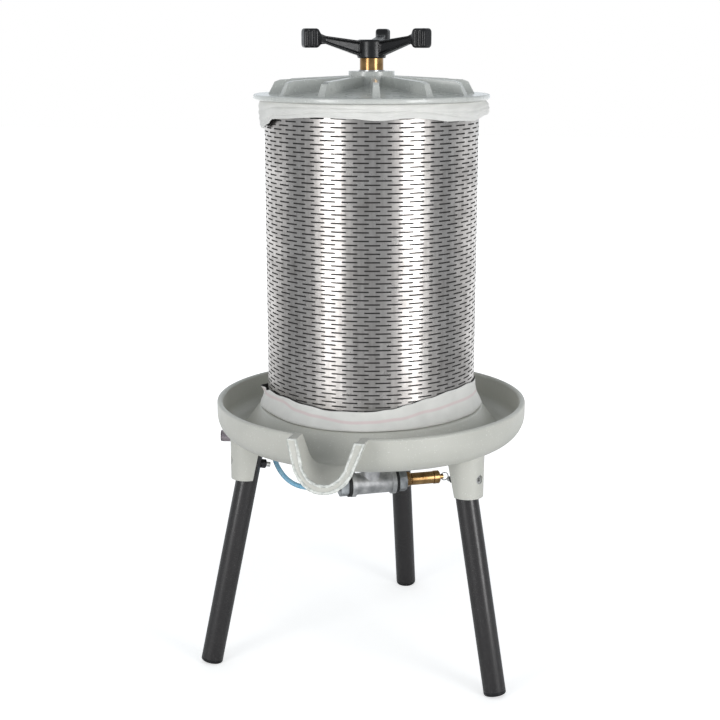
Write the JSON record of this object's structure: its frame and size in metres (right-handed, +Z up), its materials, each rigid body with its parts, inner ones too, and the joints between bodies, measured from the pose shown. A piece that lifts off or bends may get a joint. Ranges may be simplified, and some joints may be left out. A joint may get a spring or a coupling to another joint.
{
  "type": "pneumatic fruit press",
  "caption": "Free-standing pneumatic bladder press: slotted basket in a cast juice tray with spout, ribbed lid, star handle, splayed tube legs.",
  "frame": {"origin": "on the floor under the middle of the press, on the column's axis", "axes": "+Z up along the column, -Y towards the juice spout, +X to the right seen from the spout"},
  "size_m": [0.5006, 0.5759, 1.007],
  "materials": {
    "grey_paint": "sand cast, with satin grey paint",
    "black_powder": "textured powder coat",
    "black_plastic": "glossy",
    "black_steel": "black oxide",
    "steel": "turned",
    "zinc_steel": "zinc plated",
    "wire_steel": "drawn wire",
    "seal_rubber": "matt",
    "membrane_rubber": "matt, dusty",
    "plain_aluminium": "machined",
    "cast_aluminium": "raw sand cast",
    "brass": "turned",
    "fitting_plastic": "moulded",
    "nickel": "nickel plated",
    "blue_hose": "translucent tube",
    "basket_steel": "bright slotted sheet",
    "cloth": "fine woven net",
    "handle_plastic": "satin"
  },
  "bodies": {
    "root": {"tray": "grey_paint", "leg_left": "black_powder", "leg_right": "black_powder", "leg_back": "black_powder", "foot_cap_left": "black_plastic", "foot_cap_right": "black_plastic", "foot_cap_back": "black_plastic", "leg_bolts": "black_steel", "leg_nuts": "black_steel", "column": "steel", "column_gasket": "seal_rubber", "column_nut": "zinc_steel", "membrane": "membrane_rubber", "lower_clamp_plate": "plain_aluminium", "upper_support_plate": "plain_aluminium", "upper_clamp_plate": "plain_aluminium", "clamp_nut": "zinc_steel", "manifold": "cast_aluminium", "manifold_washers": "seal_rubber", "adapter_left": "zinc_steel", "adapter_right": "zinc_steel", "safety_valve": "brass", "hose_fitting": "fitting_plastic", "air_hose": "blue_hose", "inlet_elbow": "fitting_plastic", "inlet_nut": "zinc_steel", "inlet_socket": "nickel"},
    "basket": {"basket": "basket_steel", "press_cloth": "cloth"},
    "lid": {"lid": "grey_paint"},
    "washer": {"thrust_washer": "steel"},
    "handle": {"handle_bushing": "brass", "star_handle": "handle_plastic"},
    "relief_stem": {"relief_stem": "brass"},
    "pull_ring": {"pull_ring": "wire_steel"},
    "coupling_sleeve": {"socket_sleeve": "nickel"}
  },
  "joints": [
    {"name": "basket_lift", "type": "slide", "parent": "root", "child": "basket", "axis": [0, 0, 1], "range_m": [0, 0.62]},
    {"name": "lid_lift", "type": "slide", "parent": "basket", "child": "lid", "axis": [0, 0, 1], "range_m": [0, 0.12]},
    {"name": "washer_rise", "type": "slide", "parent": "lid", "child": "washer", "axis": [0, 0, 1], "range_m": [0, 0.0241]},
    {"name": "handle_turn", "type": "hinge", "parent": "washer", "child": "handle", "pos_m": [0, 0, 0.963], "axis": [0, 0, 1], "range_deg": [0, 2160]},
    {"name": "relief_pull", "type": "slide", "parent": "root", "child": "relief_stem", "axis": [0.866, 0.5, 0], "range_m": [0, 0.0025], "stiffness_N_per_m": 3000},
    {"name": "ring_swing", "type": "hinge", "parent": "relief_stem", "child": "pull_ring", "pos_m": [0.10479, 0.0605, 0.283], "axis": [0, 0, 1], "range_deg": [-60, 60]},
    {"name": "sleeve_slide", "type": "slide", "parent": "root", "child": "coupling_sleeve", "axis": [0.9792, 0.2028, 0], "range_m": [0, 0.003], "stiffness_N_per_m": 1500}
  ],
  "couplings": [
    {"joint": "washer_rise", "follows": "handle_turn", "m_per_rad": 0.00063662}
  ]
}
